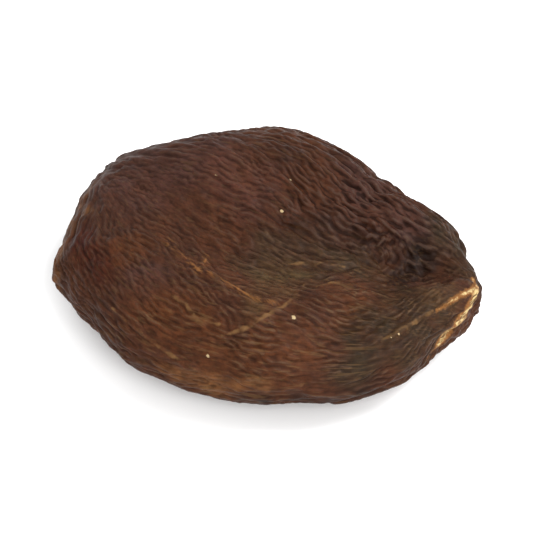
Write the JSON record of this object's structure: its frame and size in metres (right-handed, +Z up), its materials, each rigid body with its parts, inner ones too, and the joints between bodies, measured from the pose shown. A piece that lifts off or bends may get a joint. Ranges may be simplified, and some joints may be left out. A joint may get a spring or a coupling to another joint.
{
  "type": "dried apricot",
  "caption": "Whole stoned dried apricot: a flattened dark brown oval of wrinkled skin, sunken in the middle, with a pale stem scar.",
  "frame": {"origin": "the surface that the fruit lies on, under the middle of its bounding box", "axes": "+X towards the stem end, along the fruit's length; +Z up, away from the surface it lies on; +Y to its left, seen from above"},
  "size_m": [0.041, 0.0348, 0.0125],
  "materials": {
    "skin": "dark red-brown dried skin, semi-matt with a faint sheen on its wrinkles, olive in the hollow, pale ochre at the stem scar"
  },
  "bodies": {
    "root": {"dried_apricot": "skin"}
  },
  "joints": []
}
